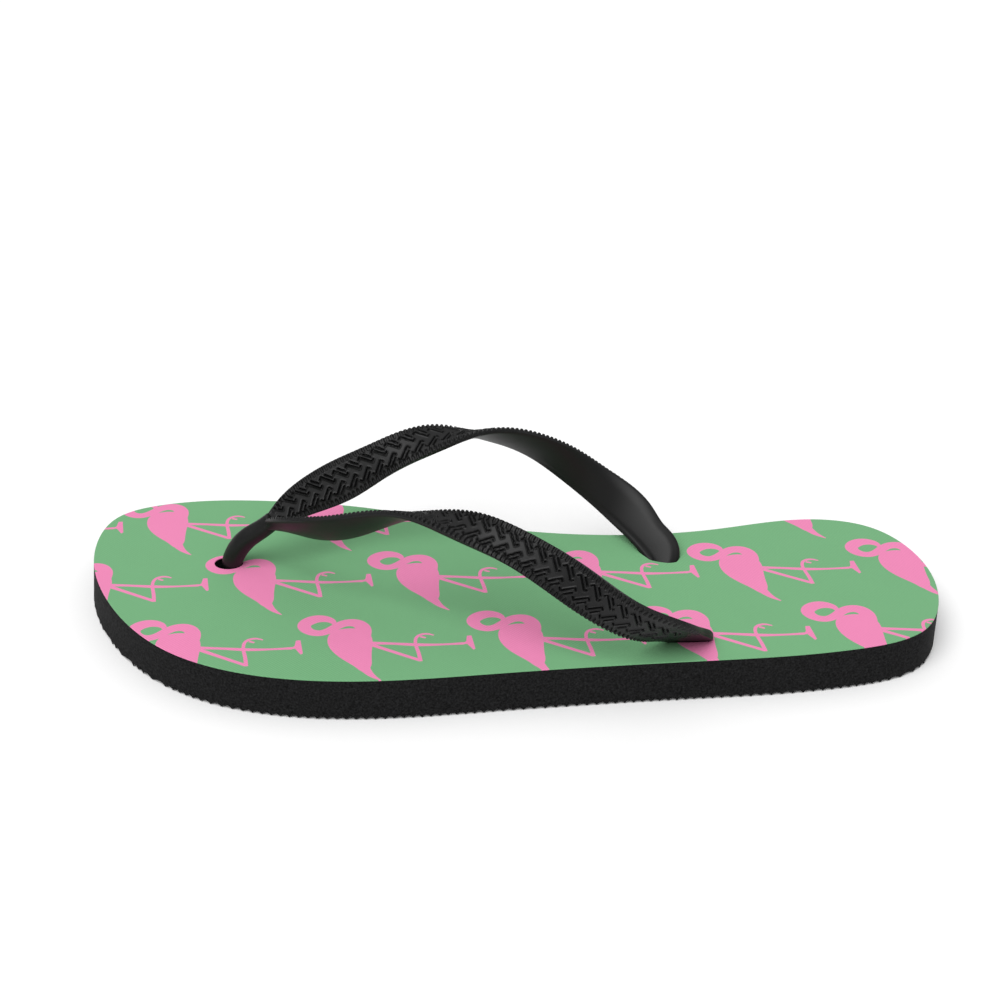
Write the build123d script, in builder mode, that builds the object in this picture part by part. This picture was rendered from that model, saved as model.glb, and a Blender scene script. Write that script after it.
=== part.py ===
"""A left-foot flip flop: a foam sole with a printed fabric footbed and a moulded thong strap.

Frame, in millimetres: toe towards -X, heel towards +X, the outer (lateral) edge towards -Y,
the inner (medial) edge towards +Y, +Z up. The origin is under the middle of the sole, on the ground.
"""
import os

from build123d import *

# ---- Driving dimensions ----------------------------------------------------------------------

foam_thickness = 14.4
fabric_thickness = 0.6
sole_top = foam_thickness + fabric_thickness
sole_width = 104.0

ball_line_x = -52.0  # the sole bends here when the foot rolls forward
heel_line_x = 80.0  # and here, where the heel end springs up
segment_gap = 0.3  # slit between two neighbouring sole segments

toe_hole = (-93.2, 11.3)
toe_hole_length = 9.4
toe_hole_width = 7.4
toe_stem_x = -92.4  # the stem stands towards the back of its hole
medial_anchor = (51.5, 25.0)
lateral_anchor = (60.5, -22.0)

stem_radius = 3.3
stem_drop = 2.6  # from the footbed down to the top of the stem
anchor_hole_radius = 3.8
disc_radius = 9.0
disc_thickness = 3.0
disc_rounding = 1.0
recess_radius = 9.8
recess_depth = 4.2

strap_thickness = 2.8
strap_rounding = 1.0
strap_foot_length = 13.0  # the end of an arm swells where it enters the sole
strap_foot_width = 7.5
fork_ball_radius = 4.4
fork_clearance = 0.4
fork_point = (-77.5, 10.4, 34.5)
post_middle = (-87.6, 10.6, 26.4)
post_radius = 3.4
post_rounding = 1.0
post_clearance = 0.7  # air between the foot of the post and the footbed
arm_clearance = 1.2  # and between the foot of an arm and the footbed

medial, lateral = 1, -1

# ---- Outline of the sole ---------------------------------------------------------------------

outline_points = [
    (-140, 22),  # toe tip
    (-129, -12),
    (-102, -40.5),
    (-59, -52),  # outer edge of the ball
    (0, -44.8),
    (60, -34.6),
    (110, -25),
    (134, -12),
    (140, 6),  # heel tip
    (135, 33),
    (122, 48),
    (104, 52),  # inner edge of the heel
    (70, 43.6),
    (28, 37),  # waist
    (-15, 41),
    (-50, 49.3),
    (-85, 52),  # inner edge of the ball
    (-121, 47.6),
    (-136.5, 38),
]

with BuildSketch(mode=Mode.PRIVATE) as outline:
    with BuildLine():
        Spline(*outline_points, periodic=True)
    make_face()


def sole_layer(name, span, bottom, thickness, holes, recesses):
    """One segment of one layer of the sole, between two cross lines, with its holes.

    A hole is (centre, length, width) and goes right through. A recess is the centre of a round
    pocket in the underside, which holds the disc of a strap plug.
    """
    start_x, end_x = span
    with BuildPart() as layer:
        with BuildSketch(Plane.XY.offset(bottom)):
            add(outline.sketch)
            with Locations(((start_x + end_x) / 2, 0)):
                Rectangle(end_x - start_x, 2 * sole_width, mode=Mode.INTERSECT)
            for centre, length, width in holes:
                with Locations(centre):
                    Ellipse(length / 2, width / 2, mode=Mode.SUBTRACT)
        extrude(amount=thickness)
        for centre in recesses:
            with BuildSketch(Plane.XY.offset(bottom)):
                with Locations(centre):
                    Circle(recess_radius)
            extrude(amount=recess_depth, mode=Mode.SUBTRACT)
    layer.part.label = name
    return layer


def foam(name, span, holes=(), recesses=()):
    return sole_layer(name, span, 0, foam_thickness, holes, recesses)


def fabric(name, span, holes=()):
    return sole_layer(name, span, foam_thickness, fabric_thickness, holes, ())


forefoot_span = (-sole_width * 2, ball_line_x - segment_gap / 2)
midfoot_span = (ball_line_x + segment_gap / 2, heel_line_x - segment_gap / 2)
heel_span = (heel_line_x + segment_gap / 2, sole_width * 2)

anchors = (medial_anchor, lateral_anchor)
toe_holes = [(toe_hole, toe_hole_length, toe_hole_width)]
side_holes = [(anchor, 2 * anchor_hole_radius, 2 * anchor_hole_radius) for anchor in anchors]

outsole_forefoot = foam("outsole_forefoot", forefoot_span, toe_holes, [toe_hole])
outsole_midfoot = foam("outsole_midfoot", midfoot_span, side_holes, anchors)
outsole_heel = foam("outsole_heel", heel_span)
footbed_forefoot = fabric("footbed_forefoot", forefoot_span, toe_holes)
footbed_midfoot = fabric("footbed_midfoot", midfoot_span, side_holes)
footbed_heel = fabric("footbed_heel", heel_span)

# ---- Plugs: a disc under the sole and a stem up through it -------------------------------------

disc_bottom = recess_depth - disc_thickness
stem_top = sole_top - stem_drop


def strap_plug(name, disc_centre, stem_centre):
    with BuildPart() as plug:
        with BuildSketch(Plane.XY.offset(disc_bottom)):
            with Locations(disc_centre):
                Circle(disc_radius)
        extrude(amount=disc_thickness)
        fillet(plug.edges().group_by(Axis.Z)[0], radius=disc_rounding)
        with BuildSketch(Plane.XY.offset(recess_depth)):
            with Locations(stem_centre):
                Circle(stem_radius)
        extrude(amount=stem_top - recess_depth)
    plug.part.label = name
    return plug


toe_plug = strap_plug("toe_plug", toe_hole, (toe_stem_x, toe_hole[1]))
side_plug_medial = strap_plug("side_plug_medial", medial_anchor, medial_anchor)
side_plug_lateral = strap_plug("side_plug_lateral", lateral_anchor, lateral_anchor)

# ---- Strap arms: two twisted ribbons from the fork to the anchors -------------------------------

anchor_middle = (
    (medial_anchor[0] + lateral_anchor[0]) / 2,
    (medial_anchor[1] + lateral_anchor[1]) / 2,
)
anchor_skew = (lateral_anchor[0] - medial_anchor[0]) / (medial_anchor[1] - lateral_anchor[1])

# The two edges of one arm. Each point is the share of the way from the toe hole to the anchors,
# half the distance between the two arms there, and the height above the ground.
outer_edge = [
    (0.090, 2.0, 36.0),  # at the fork
    (0.155, 12.5, 42.5),
    (0.235, 18.5, 47.5),
    (0.315, 22.0, 52.0),
    (0.390, 26.5, 54.5),
    (0.475, 33.0, 53.0),  # crest: the ribbon lies level here and turns over
    (0.580, 37.5, 47.5),
    (0.710, 43.0, 37.5),
    (0.830, 40.0, 25.5),
    (0.905, 32.0, 19.2),
    (0.940, 27.0, 17.6),
]
inner_edge = [
    (0.105, 0.5, 33.0),
    (0.195, 9.5, 33.0),
    (0.275, 14.5, 36.5),
    (0.350, 16.0, 42.5),
    (0.420, 17.0, 48.5),
    (0.500, 20.5, 54.0),
    (0.610, 29.0, 57.0),
    (0.765, 38.0, 48.5),
    (0.890, 42.0, 36.5),
    (0.980, 36.5, 27.5),
    (1.020, 29.5, 21.8),
]


def strap_point(share, spread, height, side):
    """A point of the strap, on the medial or lateral side of the line that halves it."""
    x = toe_hole[0] + share * (anchor_middle[0] - toe_hole[0]) - side * spread * anchor_skew * share
    y = toe_hole[1] + share * (anchor_middle[1] - toe_hole[1]) + side * spread
    return Vector(x, y, height)


def strap_arm(name, side):
    outer = [strap_point(*place, side) for place in outer_edge]
    inner = [strap_point(*place, side) for place in inner_edge]
    centres = [(low + high) / 2 for low, high in zip(outer, inner)]
    foot = Vector(*(medial_anchor if side == medial else lateral_anchor), sole_top + arm_clearance)
    ahead = centres[1:] + [foot]
    behind = centres[:1] + centres[:-1]
    with BuildPart() as arm:
        for index, centre in enumerate(centres):
            across = outer[index] - inner[index]
            along = ahead[index] - behind[index]
            with BuildSketch(Plane(origin=centre, x_dir=across, z_dir=along)):
                RectangleRounded(across.length, strap_thickness, strap_rounding)
        with BuildSketch(Plane(origin=foot, x_dir=(-1, side * anchor_skew, 0), z_dir=(0, 0, -1))):
            RectangleRounded(strap_foot_length, strap_foot_width, strap_foot_width * 0.48)
        loft()
        with Locations(fork_point):
            Sphere(fork_ball_radius + fork_clearance, mode=Mode.SUBTRACT)
    arm.part.label = name
    return arm


strap_arm_medial = strap_arm("strap_arm_medial", medial)
strap_arm_lateral = strap_arm("strap_arm_lateral", lateral)

# ---- Toe post: a round stalk with a ball at the fork --------------------------------------------

post_foot = (toe_stem_x, toe_hole[1], sole_top + post_clearance)

with BuildPart() as toe_post:
    with BuildLine():
        post_line = ThreePointArc(post_foot, post_middle, fork_point)
    with BuildSketch(Plane(origin=post_foot, z_dir=post_line % 0)):
        Circle(post_radius)
    sweep()
    fillet(toe_post.edges().group_by(Axis.Z)[0], radius=post_rounding)
    with Locations(fork_point):
        Sphere(fork_ball_radius)
toe_post.part.label = "toe_post"

# ---- Files -------------------------------------------------------------------------------------

pieces = [
    outsole_forefoot,
    outsole_midfoot,
    outsole_heel,
    footbed_forefoot,
    footbed_midfoot,
    footbed_heel,
    toe_plug,
    side_plug_medial,
    side_plug_lateral,
    strap_arm_medial,
    strap_arm_lateral,
    toe_post,
]

os.makedirs("parts", exist_ok=True)
for piece in pieces:
    export_step(piece.part, f"parts/{piece.part.label}.step")
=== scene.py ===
"""Looks of the left-foot flip flop: foam sole with tread, printed cloth footbed, moulded strap.

Toe towards -X, heel towards +X, inner (medial) edge towards +Y, +Z up.
"""

from math import pi, radians

import bmesh
import bpy
import numpy as np
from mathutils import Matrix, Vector
from mathutils.geometry import convex_hull_2d, delaunay_2d_cdt


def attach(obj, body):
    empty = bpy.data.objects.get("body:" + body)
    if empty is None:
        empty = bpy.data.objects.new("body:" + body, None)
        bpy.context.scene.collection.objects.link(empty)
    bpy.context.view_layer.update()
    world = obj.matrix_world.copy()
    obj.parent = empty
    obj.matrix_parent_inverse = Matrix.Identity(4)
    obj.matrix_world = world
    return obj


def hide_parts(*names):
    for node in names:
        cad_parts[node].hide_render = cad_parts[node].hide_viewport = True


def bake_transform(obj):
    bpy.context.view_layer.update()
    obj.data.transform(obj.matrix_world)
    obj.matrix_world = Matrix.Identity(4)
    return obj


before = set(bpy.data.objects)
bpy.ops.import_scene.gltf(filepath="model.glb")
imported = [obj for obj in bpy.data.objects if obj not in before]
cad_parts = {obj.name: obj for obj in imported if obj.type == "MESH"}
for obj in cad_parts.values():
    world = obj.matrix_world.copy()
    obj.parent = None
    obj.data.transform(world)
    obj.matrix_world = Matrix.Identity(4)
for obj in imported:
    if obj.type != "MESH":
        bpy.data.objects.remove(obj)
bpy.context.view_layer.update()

# ---- Dimensions --------------------------------------------------------------------------------

sole_top = 15.0
cloth_thickness = 0.3
cloth_rounding = 0.14
cloth_clearance = 0.05  # of the cloth around the foot of an arm
foam_clearance = 0.2  # and of the foam
seam_x = 14.0  # front and rear halves of the sole meet here, where the sole never bends

tread_pitch = 2.95
tread_depth = 1.35
tread_arch = 0.7  # below 1 it sharpens the ridges and widens the arches between them
tread_wave = (1.2, 12.0)  # sideways swing and length of the waves in the ridges
wall_heights = (2.0, 5.0, 8.0, 11.0, 13.6, sole_top - cloth_thickness)  # rows of points up the wall
toe_lean = 1.6  # how much further forward the toe end reaches at the ground than at the top
toe_lean_reach = (-95.0, -135.0)  # it grows from none at the first x to all of it at the second

toe_hole = (-93.2, 11.3)
toe_hole_axes = (4.7, 3.7)
toe_stem = (-92.4, 11.3)  # the stem of the toe plug stands towards the back of the hole
medial_anchor = (51.5, 25.0)
lateral_anchor = (60.5, -22.0)
pocket_radius = 9.8
pocket_depth = 4.2
disc_radius = 9.0
disc_thickness = 3.0
stem_radius = 3.3

post_line = [  # centre and radius of the toe post, upwards from inside its hole to the fork
    (-92.2, 11.3, 12.6, 3.4),
    (-91.95, 11.3, 15.5, 3.4),
    (-90.9, 11.1, 18.5, 3.45),
    (-86.0, 10.9, 25.4, 3.45),
    (-81.0, 10.7, 29.3, 3.2),
    (-78.0, 10.6, 31.9, 3.1),
]
arm_inset = 0.5  # how far the moulded edges of an arm stay inside its two lines below

medial, lateral = 1, -1

outline_points = [
    (-140, 22),  # toe tip
    (-129, -12),
    (-102, -40.5),
    (-59, -52),  # outer edge of the ball
    (0, -44.8),
    (60, -34.6),
    (110, -25),
    (134, -12),
    (140, 6),  # heel tip
    (135, 33),
    (122, 48),
    (104, 52),  # inner edge of the heel
    (70, 43.6),
    (28, 37),  # waist
    (-15, 41),
    (-50, 49.3),
    (-85, 52),  # inner edge of the ball
    (-121, 47.6),
    (-136.5, 38),
]

# The two edges of an arm behind the fork: share of the way from the toe hole to the anchors, half
# the distance between the arms, and height.
outer_edge = [
    (0.0865, 1.2, 33.7),
    (0.118, 6.9, 37.8),
    (0.155, 12.0, 41.6),
    (0.235, 18.5, 47.0),
    (0.315, 22.0, 51.8),
    (0.390, 26.5, 55.0),
    (0.475, 33.0, 54.1),
    (0.580, 37.3, 48.1),
    (0.710, 43.0, 37.5),
    (0.824, 40.0, 25.5),
    (0.896, 32.0, 19.2),
    (0.929, 27.4, 16.6),
    (0.952, 24.2, 14.4),
    (0.962, 21.8, 12.4),
]
inner_edge = [
    (0.117, 0.9, 30.9),
    (0.147, 2.3, 30.9),
    (0.195, 6.5, 31.9),
    (0.275, 11.5, 35.2),
    (0.350, 15.0, 41.9),
    (0.420, 16.6, 48.3),
    (0.500, 19.8, 53.6),
    (0.610, 28.2, 56.5),
    (0.765, 38.0, 48.5),
    (0.890, 42.0, 36.5),
    (0.986, 36.0, 27.3),
    (1.016, 30.0, 21.9),
    (1.040, 24.4, 16.8),
    (1.028, 20.6, 12.6),
]

# ---- Curves ------------------------------------------------------------------------------------


def chord_lengths(points):
    """Distance travelled from the first point to each point, straight from point to point."""
    steps = np.linalg.norm(np.diff(points, axis=0), axis=1)
    return np.concatenate([[0.0], np.cumsum(steps)])


def spline(knots, values, at):
    """Natural cubic spline through values at knots, evaluated at every place in at."""
    knots = np.asarray(knots, float)
    values = np.asarray(values, float).reshape(len(knots), -1)
    count = len(knots)
    gap = np.diff(knots)
    system = np.eye(count)
    right = np.zeros_like(values)
    for i in range(1, count - 1):
        system[i, i - 1 : i + 2] = gap[i - 1], 2 * (gap[i - 1] + gap[i]), gap[i]
        slope_after = (values[i + 1] - values[i]) / gap[i]
        slope_before = (values[i] - values[i - 1]) / gap[i - 1]
        right[i] = 6 * (slope_after - slope_before)
    bend = np.linalg.solve(system, right)
    at = np.asarray(at, float)
    i = np.clip(np.searchsorted(knots, at) - 1, 0, count - 2)
    width = gap[i][:, None]
    before = (knots[i + 1] - at)[:, None]
    after = (at - knots[i])[:, None]
    return (
        (bend[i] * before**3 + bend[i + 1] * after**3) / (6 * width)
        + (values[i] / width - bend[i] * width / 6) * before
        + (values[i + 1] / width - bend[i + 1] * width / 6) * after
    )


def ramp(value, start, end):
    """0 at start and on its far side, 1 at end and beyond, smooth in between."""
    share = np.clip((value - start) / (end - start), 0, 1)
    return share * share * (3 - 2 * share)


def closed_curve(points, count):
    """A smooth closed curve through the points, as count points, none of them twice."""
    points = np.asarray(points, float)
    lap = len(points)
    laps = np.concatenate([points, points, points, points[:1]])
    travelled = chord_lengths(laps)
    at = np.linspace(travelled[lap], travelled[2 * lap], count + 1)[:-1]
    return spline(travelled, laps, at)


def closed_polygon(points, count):
    """A closed polygon as count points, evenly spaced along it."""
    loop = np.concatenate([points, points[:1]])
    travelled = chord_lengths(loop)
    at = np.linspace(0, travelled[-1], count + 1)[:-1]
    return np.stack([np.interp(at, travelled, loop[:, 0]), np.interp(at, travelled, loop[:, 1])], 1)


def ellipse(centre, axes, count=48):
    angle = np.arange(count) * 2 * pi / count
    return np.stack([centre[0] + axes[0] * np.cos(angle), centre[1] + axes[1] * np.sin(angle)], 1)


# ---- Meshes ------------------------------------------------------------------------------------


def new_mesh(name, points, faces, materials, sharp_angle=40, uv=None, face_material=None):
    """A smooth-shaded mesh object from points in millimetres. uv holds a pair for each point."""
    mesh = bpy.data.meshes.new(name)
    mesh.from_pydata((np.asarray(points) / 1000).tolist(), [], faces)
    for material in materials:
        mesh.materials.append(material)
    if face_material is not None:
        mesh.polygons.foreach_set("material_index", face_material)
    if uv is not None:
        corners = np.zeros(len(mesh.loops), int)
        mesh.loops.foreach_get("vertex_index", corners)
        layer = mesh.uv_layers.new(name="Millimetres")
        layer.data.foreach_set("uv", np.asarray(uv, np.float32)[corners].ravel())
    mesh.shade_smooth()
    mesh.set_sharp_from_angle(angle=radians(sharp_angle))
    mesh.update()
    piece = bpy.data.objects.new(name, mesh)
    bpy.context.scene.collection.objects.link(piece)
    return piece


def grid_faces(rows, columns, offset=0, closed=False):
    """Quads between rows of columns points. closed joins the last column to the first."""
    row, column = np.meshgrid(np.arange(rows - 1), np.arange(columns if closed else columns - 1))
    row, column = row.T.ravel(), column.T.ravel()
    after = (column + 1) % columns
    corners = [row * columns + column, row * columns + after]
    corners += [(row + 1) * columns + after, (row + 1) * columns + column]
    return (np.stack(corners, 1) + offset).tolist()


def close_up(piece, doubled=()):
    """Welds the doubled corners of a closed piece and turns every face outwards."""
    shell = bmesh.new()
    shell.from_mesh(piece.data)
    shell.verts.ensure_lookup_table()
    bmesh.ops.remove_doubles(shell, verts=[shell.verts[i] for i in doubled], dist=1e-5)
    bmesh.ops.recalc_face_normals(shell, faces=shell.faces)
    shell.to_mesh(piece.data)
    shell.free()
    return piece


def prism(name, ring, bottom, top):
    """A closed upright prism over a ring of points."""
    count = len(ring)
    points = [(x, y, z) for z in (bottom, top) for x, y in ring]
    sides = [(i, (i + 1) % count, (i + 1) % count + count, i + count) for i in range(count)]
    caps = [tuple(range(count))[::-1], tuple(range(count, 2 * count))]
    return new_mesh(name, points, sides + caps, [])


def carve(piece, cutters):
    """Cuts the cutters out of a closed piece and removes them."""
    for cutter in cutters:
        cut = piece.modifiers.new("cut", "BOOLEAN")
        cut.operation = "DIFFERENCE"
        cut.solver = "MANIFOLD"
        cut.object = cutter
    graph = bpy.context.evaluated_depsgraph_get()
    carved = bpy.data.meshes.new_from_object(piece.evaluated_get(graph))
    piece.modifiers.clear()
    piece.data = carved
    for cutter in cutters:
        bpy.data.objects.remove(cutter)
    piece.data.shade_smooth()
    piece.data.set_sharp_from_angle(angle=radians(40))


# ---- Sole outline ------------------------------------------------------------------------------

outline = closed_curve(outline_points, 3000)
toe_tip = int(outline[:, 0].argmin())
outline = np.roll(outline, -toe_tip, axis=0)
heel_tip = int(outline[:, 0].argmax())
outer_side = outline[: heel_tip + 1]
inner_side = np.concatenate([outline[heel_tip:], outline[:1]])[::-1]
toe_x, heel_x = outline[0, 0], outline[heel_tip, 0]


def outer_y(x):
    return np.interp(x, outer_side[:, 0], outer_side[:, 1])


def inner_y(x):
    return np.interp(x, inner_side[:, 0], inner_side[:, 1])


def half_columns(front, count):
    """Cross lines of the front or rear half of the sole, closer together towards the tip."""
    share = 1 - np.cos(np.linspace(0, pi / 2, count))
    if front:
        return toe_x + (seam_x - toe_x) * share
    return (heel_x - (heel_x - seam_x) * share)[::-1]


# ---- Foam --------------------------------------------------------------------------------------


def tread_height(x, y):
    """Height of the underside: pointed ridges with rounded arches between them."""
    swing, wave = tread_wave
    phase = (x + swing * np.sin(2 * pi * y / wave)) / tread_pitch
    return tread_depth * np.abs(np.sin(pi * phase)) ** tread_arch


def foam_half(name, front, material, columns=520, rows=91):
    x = half_columns(front, columns)
    low, high = outer_y(x), inner_y(x)
    share = np.linspace(0, 1, rows)
    across = low[:, None] + (high - low)[:, None] * share
    along = np.repeat(x[:, None], rows, axis=1)
    bottom = np.stack([along, across, tread_height(along, across)], -1)
    heights = np.array(wall_heights)
    outer_wall, inner_wall = (
        np.stack(np.broadcast_arrays(x[:, None], edge[:, None], heights), -1) for edge in (low, high)
    )
    # One closed ring of points for each column: underside, inner wall upwards, outer wall downwards.
    rings = np.concatenate([bottom, inner_wall, outer_wall[:, ::-1]], axis=1)
    lean = toe_lean * ramp(rings[..., 0], *toe_lean_reach) * (1 - rings[..., 2] / sole_top)
    rings[..., 0] -= lean
    ring = rings.shape[1]
    faces = [face[::-1] for face in grid_faces(columns, ring, closed=True)]
    first, last = list(range(ring)), list(range((columns - 1) * ring, columns * ring))
    tip, seam = (first, last[::-1]) if front else (last, first)
    faces.append(seam)
    return close_up(new_mesh(name, rings.reshape(-1, 3), faces, [material]), tip)


def slot_ring(arm, clearance):
    """Outline of the slot for one arm: the hull of the part of the arm below the sole's top."""
    corners = np.zeros(len(arm.data.vertices) * 3)
    arm.data.vertices.foreach_get("co", corners)
    corners = corners.reshape(-1, 3) * 1000
    low = corners[(corners[:, 2] < sole_top + 0.1) & (corners[:, 0] > 0)]
    hull = low[convex_hull_2d(low[:, :2].tolist())][:, :2]
    ring = closed_polygon(hull, 48)
    away = ring - ring.mean(0)
    return ring + away / np.linalg.norm(away, axis=1)[:, None] * clearance


def sole_cutters(front):
    """Pockets for the plug discs and the holes above them, in one half of the sole."""
    if front:
        places = [("toe", toe_hole, ellipse(toe_hole, toe_hole_axes))]
    else:
        places = [
            (arm.name, anchor, slot_ring(arm, foam_clearance))
            for arm, anchor in ((strap_medial, medial_anchor), (strap_lateral, lateral_anchor))
        ]
    cutters = []
    for name, centre, hole in places:
        pocket = ellipse(centre, (pocket_radius, pocket_radius), 64)
        cutters.append(prism(name + "_pocket", pocket, -1, pocket_depth))
        cutters.append(prism(name + "_bore", hole, pocket_depth - 1, sole_top + 1))
    return cutters


# ---- Print on the cloth ------------------------------------------------------------------------

print_origin = (-6.4, -0.7)  # bent knee of one bird
print_step = (53.25, 6.1)  # from one bird to the next in its row
print_row = (-35.9, 33.2)  # from one row to the next

# A standing wading bird, in millimetres from its bent knee. Its legs point to the heel.
bird_body = [
    (-17.6, 13.2),
    (-16.0, 6.4),
    (-15.4, 0.0),
    (-15.4, -5.0),
    (-16.8, -6.9),
    (-19.6, -4.9),
    (-23.6, -1.4),
    (-27.8, 2.9),
    (-30.3, 8.2),
    (-29.9, 13.0),
    (-26.6, 15.5),
    (-21.8, 15.9),
]
# The strokes have a width at each point as well.
bird_tail = [(-17.0, -4.9, 3.4), (-14.4, -8.4, 1.9), (-11.1, -11.0, 0.3)]
bird_neck = [
    (-19.6, 12.5, 5.0),
    (-20.0, 16.2, 4.8),
    (-22.7, 19.0, 4.2),
    (-26.4, 18.6, 3.7),
    (-29.7, 15.4, 3.4),
    (-33.3, 12.8, 3.1),
    (-37.0, 13.6, 3.5),
    (-38.9, 16.8, 4.4),
    (-36.7, 19.9, 4.4),
    (-32.9, 20.7, 3.4),
    (-30.2, 19.4, 2.2),
    (-29.2, 17.4, 1.0),
]
bird_straight_leg = [
    (-17, 8.4, 1.7),
    (-10, 8.6, 1.2),
    (-2, 8.5, 1.5),
    (6, 9.2, 1.0),
    (12.4, 10.2, 1.3),
]
bird_straight_foot = [
    (11.4, 9.5),
    (13.4, 10.0),
    (15.6, 7.0),
    (16.2, 7.6),
    (14.4, 14.6),
    (13.0, 14.4),
    (13.0, 11.4),
]
bird_bent_leg = [(-16, 7.4, 1.5), (-8, 3.7, 1.3), (-0.7, 0.4, 1.3)]
bird_bent_shin = [
    (-0.2, -0.2, 1.3),
    (-1.5, 5.0, 1.2),
    (-2.9, 10.4, 1.1),
    (-2.4, 13.2, 1.1),
    (0.2, 14.6, 0.9),
    (2.6, 14.0, 0.5),
]
bird_bent_toe = [(-1.6, 13.0, 0.9), (0.2, 12.4, 0.7)]


def stroke(points, spacing=0.6):
    """A brush stroke through (x, y, width) points, as a row of quads."""
    points = np.asarray(points, float)
    travelled = chord_lengths(points[:, :2])
    count = max(2, int(travelled[-1] / spacing))
    x, y, width = spline(travelled, points, np.linspace(0, travelled[-1], count)).T
    centre = np.stack([x, y], 1)
    ahead = np.gradient(centre, axis=0)
    ahead /= np.linalg.norm(ahead, axis=1)[:, None]
    aside = np.stack([-ahead[:, 1], ahead[:, 0]], 1) * width[:, None] / 2
    left, right = centre + aside, centre - aside
    return [np.array([left[i], right[i], right[i + 1], left[i + 1]]) for i in range(count - 1)]


def bird_shapes():
    shapes = [closed_curve(bird_body, 60), np.array(bird_straight_foot)]
    for line in (bird_tail, bird_neck, bird_straight_leg, bird_bent_leg, bird_bent_shin, bird_bent_toe):
        shapes += stroke(line)
    return shapes


def bird_places():
    """Where the bent knees are, of all the birds that may reach the sole."""
    for row in range(-3, 4):
        for place in range(-6, 7):
            x = print_origin[0] + place * print_step[0] + row * print_row[0]
            y = print_origin[1] + place * print_step[1] + row * print_row[1]
            if -160 < x < 185 and -75 < y < 75:
                yield np.array([x, y])


def counterclockwise(loop):
    x, y = loop.T
    turn = x @ np.roll(y, -1) - y @ np.roll(x, -1)
    return loop if turn > 0 else loop[::-1]


def turns_left(flat, face):
    a, b, c = (flat[corner] for corner in face[:3])
    return (b[0] - a[0]) * (c[1] - a[1]) - (b[1] - a[1]) * (c[0] - a[0]) > 0


def outline_normals(points):
    """Outward direction of the sole's edge at the nearest place to each point."""
    ahead = np.roll(outline, -1, axis=0) - np.roll(outline, 1, axis=0)
    ahead /= np.linalg.norm(ahead, axis=1)[:, None]
    normals = np.stack([ahead[:, 1], -ahead[:, 0]], 1)
    distance = ((points[:, None] - outline[None]) ** 2).sum(-1)
    return normals[distance.argmin(1)].copy()


hole_reach = 9.0  # a free edge closer than this to the middle of a hole is the hole's edge


def cloth_solid(name, flat, kept, holes, materials):
    """Gives the flat triangles a thickness, with a rounded rim along every free edge."""
    used = sorted({corner for face, _ in kept for corner in face})
    renumber = {old: new for new, old in enumerate(used)}
    faces = [tuple(renumber[corner] for corner in face) for face, _ in kept]
    flat = flat[used]
    count = len(flat)
    printed = [int(pink) for _, pink in kept]
    faces = [face if turns_left(flat, face) else face[::-1] for face in faces]
    seen = {(face[i], face[(i + 1) % len(face)]) for face in faces for i in range(len(face))}
    free = [(a, b) for a, b in seen if (b, a) not in seen]
    ink = {}
    for face, pink in zip(faces, printed):
        for i in range(len(face)):
            ink[(face[i], face[(i + 1) % len(face)])] = pink
    rim = sorted({corner for pair in free for corner in pair})
    outward = outline_normals(flat[rim])
    centres = [hole.mean(0) for hole in holes]
    for i, corner in enumerate(rim):
        point = flat[corner]
        if abs(point[0] - seam_x) < 1e-3:
            outward[i, 0] = 0
            on_edge = min(abs(point[1] - outer_y(seam_x)), abs(point[1] - inner_y(seam_x))) < 1
            outward[i] *= on_edge
        for centre in centres:
            if np.linalg.norm(point - centre) < hole_reach:
                inward = centre - point
                outward[i] = inward / np.linalg.norm(inward)
    low = sole_top - cloth_thickness
    place = {corner: 2 * count + i for i, corner in enumerate(rim)}
    top = np.column_stack([flat, np.full(count, sole_top)])
    bottom = np.column_stack([flat, np.full(count, low)])
    wide = flat[rim] + outward * cloth_rounding
    upper = np.column_stack([wide, np.full(len(rim), sole_top - cloth_rounding)])
    lower = np.column_stack([wide, np.full(len(rim), low)])
    points = np.concatenate([top, bottom, upper, lower])
    solid = list(faces) + [tuple(corner + count for corner in face[::-1]) for face in faces]
    colours = printed * 2
    shift = len(rim)
    for a, b in free:
        solid.append((a, place[a], place[b], b))
        solid.append((place[a], place[a] + shift, place[b] + shift, place[b]))
        solid.append((place[a] + shift, a + count, b + count, place[b] + shift))
        colours += [ink[(a, b)]] * 3
    return new_mesh(name, points, solid, materials, 30, points[:, :2], colours)


grid_x = np.arange(-137, 138, 5.0)
grid_y = np.arange(-49, 50, 7.0)


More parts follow.
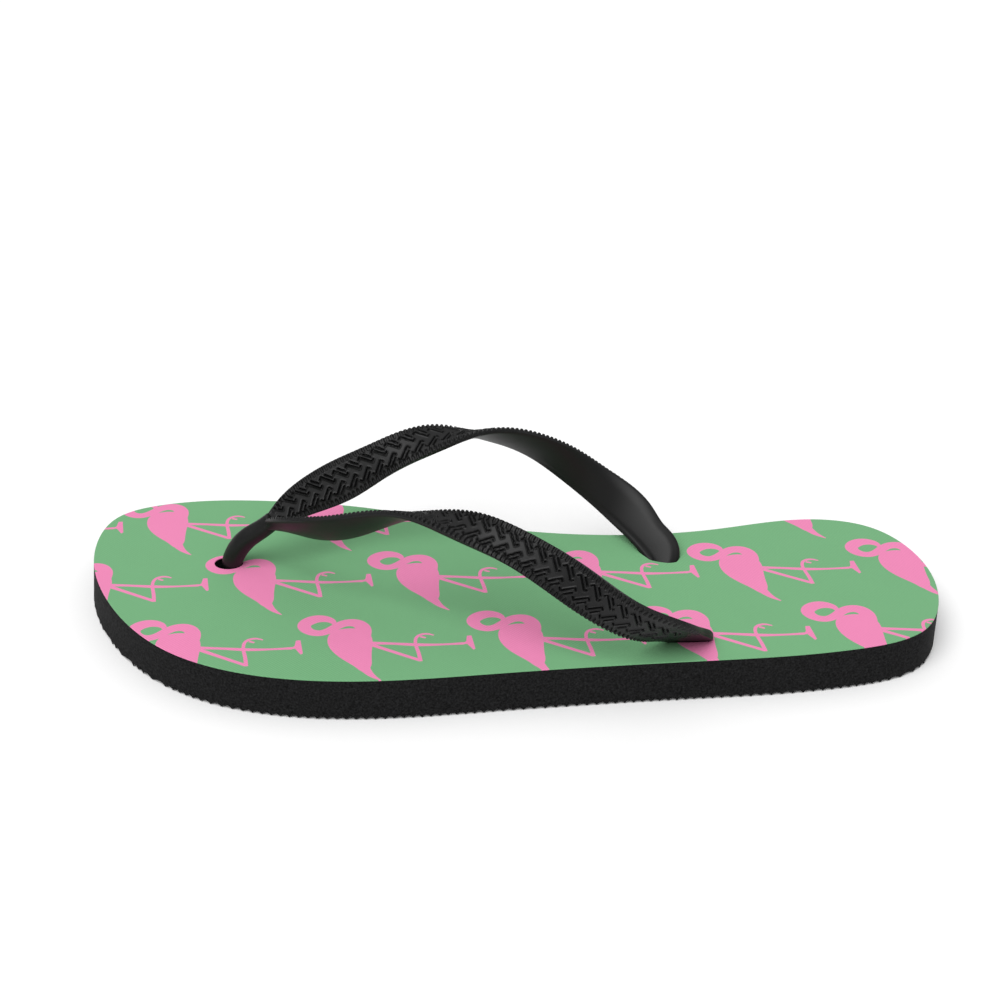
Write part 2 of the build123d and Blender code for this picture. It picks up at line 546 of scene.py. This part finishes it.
def cloth_half(name, front, materials, columns=260):
    """Half of the footbed cloth: a thin sheet with holes, its print a material of its own."""
    inset = cloth_rounding
    x = half_columns(front, columns)
    low = np.stack([x, outer_y(x)], 1)
    high = np.stack([x, inner_y(x)], 1)
    edge = np.concatenate([low, high[::-1][:-1] if front else high[::-1][1:]])
    outward = outline_normals(edge)
    outward[np.abs(edge[:, 0] - seam_x) < 1e-6, 0] = 0
    sheet_edge = edge - outward * inset
    if front:
        holes = [ellipse(toe_hole, [axis + inset for axis in toe_hole_axes])]
    else:
        holes = [slot_ring(arm, cloth_clearance + inset) for arm in (strap_medial, strap_lateral)]
    loops = [sheet_edge, *holes]
    for shift in bird_places():
        for shape in bird_shapes():
            moved = shape + shift
            if moved[:, 0].max() > edge[:, 0].min() and moved[:, 0].min() < edge[:, 0].max():
                loops.append(moved)
    loops = [counterclockwise(loop) for loop in loops]
    points = np.concatenate(loops)
    rings = []
    start = 0
    for loop in loops:
        rings.append(list(range(start, start + len(loop))))
        start += len(loop)
    # A coarse grid of points inside, so that no triangle is long.
    x, y = (side.ravel() for side in np.meshgrid(grid_x, grid_y, indexing="ij"))
    clear = (x > edge[:, 0].min() + 2) & (x < edge[:, 0].max() - 2)
    clear &= (y > outer_y(x) + 1.5) & (y < inner_y(x) - 1.5)
    points = np.concatenate([points, np.stack([x, y], 1)[clear]])
    flat, _, faces, _, _, owners = delaunay_2d_cdt(points.tolist(), [], rings, 1, 1e-4, True)
    flat = np.array([tuple(point) for point in flat])
    hole_count = len(holes)
    kept = [
        (face, any(owner > hole_count for owner in owned))
        for face, owned in zip(faces, owners)
        if 0 in owned and not any(1 <= owner <= hole_count for owner in owned)
    ]
    return cloth_solid(name, flat, kept, holes, materials)


# ---- Strap -------------------------------------------------------------------------------------


def strap_point(share, spread, height, side):
    """A point of the strap, on the medial or lateral side of the line that halves it."""
    middle = (np.array(medial_anchor) + np.array(lateral_anchor)) / 2
    skew = (lateral_anchor[0] - medial_anchor[0]) / (medial_anchor[1] - lateral_anchor[1])
    x = toe_hole[0] + share * (middle[0] - toe_hole[0]) - side * spread * skew * share
    y = toe_hole[1] + share * (middle[1] - toe_hole[1]) + side * spread
    return np.array([x, y, height])


def ribbon_face(p, half_width, thickness, corner):
    """Half of a flat section with rounded corners: across and height for places p from -1 to 1."""
    flat_half = half_width - corner
    bend = pi / 2 * corner
    travelled = np.abs(p)[None] * (flat_half + bend + thickness - corner)
    turn = np.clip((travelled - flat_half) / corner, 0, pi / 2)
    across = np.sign(p) * (np.minimum(travelled, flat_half) + corner * np.sin(turn))
    down = np.maximum(travelled - flat_half - bend, 0)
    return across, thickness - corner + corner * np.cos(turn) - down


def distance_to_line(along, across, start, end):
    """Distance of every point (along, across) to one straight line."""
    run = np.subtract(end, start)
    t = ((along - start[0]) * run[0] + (across - start[1]) * run[1]) / (run @ run)
    t = np.clip(t, 0, 1)
    return np.hypot(along - start[0] - t * run[0], across - start[1] - t * run[1])


pattern_pitch = 4.9
groove_half_width = 0.2
groove_slope = 0.08  # how far the sides of a groove spread to either side of its edge
groove_depth = 0.6
lip_height = 0.25  # raised lips beside the grooves
lip_distance = 0.22  # from the edge of a groove to the top of its lip
lip_width = 0.14
zigzag = [(-0.6, 1.1), (0.0, 0.45), (3.35, 3.8), (4.05, 3.1)]
short_groove = [(0.0, 2.2), (1.8, 4.0)]
notch_pitch = 1.55
notch_inset = 0.9  # from the rim to the middle of the notches
notch_axes = (0.42, 1.2)
notch_depth = 0.7


def emboss_depth(along, across, half_width):
    """Depth of the herringbone grooves and of the row of notches along each rim."""
    nearest = np.full(along.shape, 9.0)
    for side, shift in ((1, 0), (-1, pattern_pitch / 2)):
        phase = np.mod(shift - along, pattern_pitch)
        height = across * side
        for line in (zigzag, short_groove):
            for start, end in zip(line, line[1:]):
                for lap in (-pattern_pitch, 0, pattern_pitch):
                    moved = (start[0] + lap, start[1]), (end[0] + lap, end[1])
                    nearest = np.minimum(nearest, distance_to_line(phase, height, *moved))
    outside = nearest - groove_half_width
    grooves = groove_depth * ramp(outside, groove_slope, -groove_slope)
    grooves -= lip_height * np.exp(-(((outside - lip_distance) / lip_width) ** 2))
    beside = np.mod(along, notch_pitch) - notch_pitch / 2
    from_rim = half_width - np.abs(across)
    reach = np.hypot(beside / notch_axes[0], (notch_inset - from_rim) / notch_axes[1])
    notches = notch_depth * ramp(reach, 1.2, 0.8)
    return np.where(notches > 0.02, np.maximum(grooves, notches), grooves)


# Stretches of an arm, as two distances from the fork, or from the end of the foot.
root_stretch = (8.0, 0.0)  # from the fork: its section grows rounder towards the toe post
fade_in = (1.0, 4.0)  # from the fork: the herringbone begins
fade_out = (11.0, 24.0)  # from the foot: and ends
foot_stretch = (30.0, 3.0)  # from the foot: the arm swells towards its slot
turn_stretch = (70.0, 35.0)  # from the foot: the crown moves off the middle of the smooth face

# The section of an arm: the ribbon's value, what its root adds and what its foot adds.
half_thickness = (1.0, 0.0, 0.5)  # at the edges
corner_radius = (0.4, 0.5, 0.6)
crown_height = (0.8, 0.4, 0.1)  # bulge of the smooth face
crown_shift = -0.45  # share of the half width, towards the inner edge
hollow_depth = 0.3  # faint line pressed into the smooth face, beside the outer edge
hollow_inset = 1.6
hollow_width = 0.5

embossed_row = 0.18  # distance between rows of points along an arm
plain_row = 0.3
outer_count, under_count = 84, 20  # steps around a row, over the embossed face and back under


def strap_arm(name, side, material):
    """One arm: a ribbon that grows out of the toe post, twists over and runs down into its slot."""
    outer = np.array([strap_point(*place, side) for place in outer_edge])
    inner = np.array([strap_point(*place, side) for place in inner_edge])
    centres = (outer + inner) / 2
    travelled = chord_lengths(centres)
    finish = travelled[-1]

    # Direction from the inner to the outer edge, and the half width along it.
    across = outer - inner
    halves = np.linalg.norm(across, axis=1) / 2 - arm_inset
    across /= np.linalg.norm(across, axis=1)[:, None]

    plain_from = finish - fade_out[0]
    embossed = np.arange(0, plain_from, embossed_row)
    at = np.concatenate([embossed, np.arange(plain_from, finish, plain_row), [finish]])
    from_foot = finish - at
    centre = spline(travelled, centres, at)
    ahead = np.gradient(centre, at, axis=0)
    ahead /= np.linalg.norm(ahead, axis=1)[:, None]
    wide = spline(travelled, across, at)
    wide -= (wide * ahead).sum(1)[:, None] * ahead
    wide /= np.linalg.norm(wide, axis=1)[:, None]
    face = np.cross(ahead, wide) * side
    half_width = spline(travelled, halves, at)

    root, foot = ramp(at, *root_stretch), ramp(from_foot, *foot_stretch)
    thickness, corner, crown = (
        (ribbon + root_extra * root + foot_extra * foot)[:, None]
        for ribbon, root_extra, foot_extra in (half_thickness, corner_radius, crown_height)
    )

    # Across and height of every point in its section, first the embossed face, then the smooth one.
    p = np.linspace(-1, 1, outer_count + 1)
    q = np.linspace(1, -1, under_count + 1)[1:-1]
    y_top, z_top = ribbon_face(p, half_width, thickness, corner)
    y_low, z_low = ribbon_face(q, half_width, thickness, corner)
    rear = ramp(from_foot, *turn_stretch)[:, None]
    peak = crown_shift * rear
    place = np.clip(y_low / (half_width - corner), -1, 1) - peak
    z_low = -z_low - crown * (1 - (place / (1 - peak * np.sign(place))) ** 2)
    beside_edge = (y_low - half_width + hollow_inset) / hollow_width
    z_low += hollow_depth * rear * np.exp(-(beside_edge**2))

    along = np.repeat(at[:, None], outer_count + 1, 1)
    strength = ramp(at, *fade_in) * ramp(from_foot, *fade_out)
    z_top -= emboss_depth(along, y_top, half_width) * strength[:, None] * ramp(z_top, 0, thickness)

    y = np.concatenate([y_top, y_low], 1)
    z = np.concatenate([z_top, z_low], 1)
    points = centre[:, None] + wide[:, None] * y[..., None] + face[:, None] * z[..., None]
    ring = points.shape[1]
    faces = grid_faces(len(at), ring, closed=True)
    faces.append(list(range(ring)))
    faces.append(list(range((len(at) - 1) * ring, len(at) * ring)))
    uv = np.stack([np.repeat(at[:, None], ring, 1), y], -1).reshape(-1, 2)
    return close_up(new_mesh(name, points.reshape(-1, 3), faces, [material], 60, uv))


post_row = 0.4  # distance between rows of points along the toe post
post_sides = 56
post_slant = 0.27  # how steeply the rows tilt at its top
post_slant_length = 6.0


def toe_stalk(name, material):
    """The toe post: a round stalk with a slanted, slightly domed top where the arms grow out of it."""
    line = np.array(post_line)
    travelled = chord_lengths(line[:, :3])
    fork = travelled[-1]
    at = np.append(np.arange(0, fork, post_row), fork)
    stations = spline(travelled, line, at)
    centre, radius = stations[:, :3], stations[:, 3]
    radius *= np.sqrt(1 - np.clip(1 - at / line[0, 3], 0, 0.97) ** 2)  # a ball at the lower end
    ahead = np.gradient(centre, axis=0)
    ahead /= np.linalg.norm(ahead, axis=1)[:, None]
    dome = np.linspace(0, pi / 2, 7)[1:-1]
    centre = np.concatenate([centre, centre[-1] + ahead[-1] * np.sin(dome)[:, None]])
    radius = np.concatenate([radius, radius[-1] * np.cos(dome) ** 0.5])
    ahead = np.concatenate([ahead, [ahead[-1]] * len(dome)])
    aside = np.cross(ahead, (0, 1, 0))
    aside /= np.linalg.norm(aside, axis=1)[:, None]
    level = np.cross(aside, ahead)
    rows, sides = len(centre), post_sides
    lean = post_slant * ramp(np.arange(rows) * post_row, fork - post_slant_length, fork)
    slanted = aside + ahead * lean[:, None]
    circle = ellipse((0, 0), (1, 1), sides)
    ring = slanted[:, None] * circle[None, :, :1] + level[:, None] * circle[None, :, 1:]
    points = centre[:, None] + ring * radius[:, None, None]
    faces = grid_faces(rows, sides, closed=True)
    faces.append(list(range(sides)))
    faces.append(list(range((rows - 1) * sides, rows * sides)))
    return close_up(new_mesh(name, points.reshape(-1, 3), faces, [material], 50))


# ---- Plugs -------------------------------------------------------------------------------------

plug_stem_top = 11.6
plug_sides = 72


def plug(name, disc_centre, stem_centre, material):
    """A turned disc with a rounded rim, a raised ring and a dimple, and the stem above it."""
    low = pocket_depth - disc_thickness
    edge = disc_radius
    disc = [
        (0.0, low + 0.5),
        (1.4, low + 0.5),
        (1.9, low + 0.15),
        (2.6, low + 0.05),
        (5.2, low + 0.05),
        (5.7, low - 0.25),
        (6.6, low - 0.25),
        (7.1, low + 0.05),
        (edge - 0.9, low + 0.05),
        (edge - 0.3, low + 0.35),
        (edge, low + 1.0),
        (edge, pocket_depth - 0.6),
        (edge - 0.2, pocket_depth - 0.1),
        (edge - 0.7, pocket_depth),
        (stem_radius + 0.5, pocket_depth),
    ]
    stem = [(stem_radius, pocket_depth + 0.4), (stem_radius, plug_stem_top)]
    circles = [(disc_centre, *place) for place in disc] + [(stem_centre, *place) for place in stem]
    points = []
    for centre, radius, height in circles:
        for x, y in ellipse(centre, (radius, radius), plug_sides):
            points.append((x, y, height))
    faces = grid_faces(len(circles), plug_sides, closed=True)
    faces.append(list(range(len(points) - plug_sides, len(points))))
    return close_up(new_mesh(name, points, faces, [material], 50), range(plug_sides))


# ---- Materials ---------------------------------------------------------------------------------


class Graph:
    """Short names for the few shader nodes that the materials use."""

    def __init__(self, name):
        self.material = bpy.data.materials.new(name)
        self.material.use_nodes = True
        self.tree = self.material.node_tree
        self.shader = self.tree.nodes["Principled BSDF"]

    def node(self, kind, settings=None, **inputs):
        made = self.tree.nodes.new(kind)
        for key, value in (settings or {}).items():
            setattr(made, key, value)
        for key, value in inputs.items():
            self.feed(made.inputs[key.replace("_", " ")], value)
        return made

    def feed(self, socket, value):
        if isinstance(value, bpy.types.NodeSocket):
            self.tree.links.new(value, socket)
        else:
            socket.default_value = value

    def math(self, operation, *values):
        made = self.tree.nodes.new("ShaderNodeMath")
        made.operation = operation
        for socket, value in zip(made.inputs, values):
            self.feed(socket, value)
        return made.outputs[0]

    def noise(self, coordinates, scale, detail=2.0, roughness=0.5):
        inputs = {"Vector": coordinates, "Scale": scale, "Detail": detail, "Roughness": roughness}
        return self.node("ShaderNodeTexNoise", **inputs).outputs["Fac"]

    def spread(self, value, low, high):
        """Maps 0..1 to low..high."""
        made = self.tree.nodes.new("ShaderNodeMapRange")
        self.feed(made.inputs["Value"], value)
        made.inputs["To Min"].default_value = low
        made.inputs["To Max"].default_value = high
        return made.outputs[0]

    def tint(self, colour, value):
        """The colour made lighter or darker by a factor."""
        made = self.node("ShaderNodeVectorMath", {"operation": "SCALE"})
        made.inputs[0].default_value = colour
        self.feed(made.inputs["Scale"], value)
        return made.outputs[0]

    def bump(self, height, distance, strength=1.0):
        made = self.node("ShaderNodeBump", Height=height, Distance=distance, Strength=strength)
        return made.outputs["Normal"]

    def set(self, **inputs):
        for key, value in inputs.items():
            self.feed(self.shader.inputs[key.replace("_", " ")], value)


def object_coordinates(graph):
    return graph.node("ShaderNodeTexCoord").outputs["Object"]


def foam_material():
    graph = Graph("black_foam")
    place = object_coordinates(graph)
    speckle = graph.noise(place, 1500.0, 3.0, 0.75)
    cells = graph.noise(place, 700.0, 3.0, 0.6)
    patches = graph.noise(place, 60.0, 2.0)
    level = graph.math("ADD", graph.spread(speckle, -2.2, 4.2), graph.spread(patches, -0.1, 0.1))
    height = graph.math("ADD", speckle, graph.math("MULTIPLY", cells, 0.6))
    graph.set(Base_Color=graph.tint((0.0090, 0.0090, 0.0094), level))
    graph.set(Roughness=graph.spread(cells, 0.72, 0.9), Normal=graph.bump(height, 0.00025, 0.6))
    graph.set(Specular_IOR_Level=0.12)
    return graph.material


def cloth_material(name, colour):
    """Printed twill: fine diagonal ribs, threads across them and a little unevenness."""
    graph = Graph(name)
    uv = graph.node("ShaderNodeUVMap", {"uv_map": "Millimetres"}).outputs[0]
    parts = graph.node("ShaderNodeSeparateXYZ", Vector=uv).outputs
    x, y = parts["X"], parts["Y"]
    # Phases of the ribs and of the threads across them, from x and y in millimetres.
    diagonal = graph.math("ADD", graph.math("MULTIPLY", x, 5.0), graph.math("MULTIPLY", y, 6.4))
    counter = graph.math("ADD", graph.math("MULTIPLY", x, -11.0), graph.math("MULTIPLY", y, 8.0))
    ribs = graph.spread(graph.math("SINE", diagonal), 0.0, 1.0)
    threads = graph.spread(graph.math("SINE", counter), 0.0, 1.0)
    weave = graph.math("ADD", graph.math("MULTIPLY", ribs, 0.65), graph.math("MULTIPLY", threads, 0.35))
    uneven = graph.noise(uv, 3.0, 3.0, 0.7)
    broad = graph.noise(uv, 0.06, 2.0)
    level = graph.math("ADD", graph.spread(weave, 0.88, 1.09), graph.spread(uneven, -0.08, 0.08))
    level = graph.math("ADD", level, graph.spread(broad, -0.02, 0.02))
    height = graph.math("ADD", weave, graph.math("MULTIPLY", uneven, 0.7))
    graph.set(Base_Color=graph.tint(colour, level), Roughness=graph.spread(uneven, 0.82, 0.95))
    graph.set(Normal=graph.bump(height, 0.00006, 0.7), Specular_IOR_Level=0.2)
    graph.set(Sheen_Weight=0.12, Sheen_Roughness=0.5)
    return graph.material


def rubber_material():
    graph = Graph("satin_rubber")
    place = object_coordinates(graph)
    grain = graph.noise(place, 3200.0, 2.0, 0.6)
    haze = graph.noise(place, 120.0, 3.0, 0.55)
    graph.set(Base_Color=graph.tint((0.0090, 0.0090, 0.0093), graph.spread(haze, 0.85, 1.15)))
    roughness = graph.math("ADD", graph.spread(haze, 0.36, 0.44), graph.spread(grain, 0.0, 0.06))
    graph.set(Roughness=roughness, Normal=graph.bump(grain, 0.00003, 0.5), Specular_IOR_Level=0.26)
    return graph.material


def floor_material():
    graph = Graph("white_floor")
    place = object_coordinates(graph)
    unevenness = graph.spread(graph.noise(place, 3.0), 0.99, 1.01)
    graph.set(Base_Color=graph.tint((0.98, 0.98, 0.98), unevenness))
    graph.set(Roughness=0.8, Specular_IOR_Level=0.1)
    return graph.material


foam = foam_material()
green = cloth_material("green_print_cloth", (0.178, 0.432, 0.208))
pink = cloth_material("pink_print_cloth", (0.86, 0.250, 0.475))
rubber = rubber_material()

# ---- Pieces ------------------------------------------------------------------------------------

strap_medial = strap_arm("strap_medial", medial, rubber)
strap_lateral = strap_arm("strap_lateral", lateral, rubber)
strap_post = toe_stalk("strap_toe_post", rubber)

sole_front = foam_half("sole_foam_front", True, foam)
carve(sole_front, sole_cutters(True))
sole_rear = foam_half("sole_foam_rear", False, foam)
carve(sole_rear, sole_cutters(False))

cloth_front = cloth_half("footbed_cloth_front", True, [green, pink])
cloth_rear = cloth_half("footbed_cloth_rear", False, [green, pink])

toe_disc = plug("toe_plug_disc", toe_hole, toe_stem, rubber)
medial_disc = plug("medial_plug_disc", medial_anchor, medial_anchor, rubber)
lateral_disc = plug("lateral_plug_disc", lateral_anchor, lateral_anchor, rubber)

# ---- Placing the pieces, what the plugs ride on, and the parts that the pieces stand for --------

for piece in (sole_front, cloth_front):
    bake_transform(piece)
for piece in (sole_rear, cloth_rear):
    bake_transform(piece)

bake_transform(strap_post)
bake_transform(strap_medial)
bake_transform(strap_lateral)
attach(toe_disc, "forefoot")
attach(medial_disc, "midfoot")
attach(lateral_disc, "midfoot")

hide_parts("outsole_forefoot", "outsole_midfoot")
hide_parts("outsole_midfoot", "outsole_heel")
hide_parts("footbed_forefoot", "footbed_midfoot")
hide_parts("footbed_midfoot", "footbed_heel")
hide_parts("strap_arm_medial")
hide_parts("strap_arm_lateral")
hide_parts("toe_post")
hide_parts("toe_plug")
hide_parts("side_plug_medial")
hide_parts("side_plug_lateral")


# ---- Floor, light and camera -------------------------------------------------------------------

floor = new_mesh(
    "floor",
    [(-4000, -4000, 0), (4000, -4000, 0), (4000, 4000, 0), (-4000, 4000, 0)],
    [(0, 1, 2, 3)],
    [floor_material()],
)


def aim(lamp, place, target=(0, 0, 0.02)):
    lamp.location = place
    lamp.rotation_mode = "QUATERNION"
    lamp.rotation_quaternion = (Vector(target) - Vector(place)).to_track_quat("-Z", "Y")
    bpy.context.scene.collection.objects.link(lamp)


key = bpy.data.lights.new("key", "SUN")
key.energy = 1.84
key.angle = radians(46)
aim(bpy.data.objects.new("key", key), (-0.25, -0.5, 1.0))

# A studio that lights brightly from overhead and dimly from the horizon, behind a white backdrop.
world = bpy.data.worlds.new("studio")
world.use_nodes = True
room = world.node_tree
background = room.nodes["Background"]
direction = room.nodes.new("ShaderNodeTexCoord")
height = room.nodes.new("ShaderNodeSeparateXYZ")
shade = room.nodes.new("ShaderNodeMapRange")
shade.interpolation_type = "SMOOTHSTEP"
shade.inputs["From Min"].default_value = 0.0
shade.inputs["From Max"].default_value = 0.9
shade.inputs["To Min"].default_value = 0.08
shade.inputs["To Max"].default_value = 0.77
ray = room.nodes.new("ShaderNodeLightPath")
seen = room.nodes.new("ShaderNodeMath")
seen.operation = "MAXIMUM"
room.links.new(direction.outputs["Generated"], height.inputs[0])
room.links.new(height.outputs["Z"], shade.inputs["Value"])
room.links.new(shade.outputs[0], seen.inputs[0])
room.links.new(ray.outputs["Is Camera Ray"], seen.inputs[1])
room.links.new(seen.outputs[0], background.inputs["Strength"])
background.inputs["Color"].default_value = (1, 1, 1, 1)
bpy.context.scene.world = world

lens = bpy.data.cameras.new("camera")
lens.lens = 70.7
lens.sensor_width = 36
camera = bpy.data.objects.new("camera", lens)
camera.location = (0.03235, -0.5312, 0.3696)
camera.rotation_euler = (radians(59), 0, radians(3.7))
bpy.context.scene.collection.objects.link(camera)
bpy.context.scene.camera = camera
bpy.context.scene.view_settings.view_transform = "Standard"
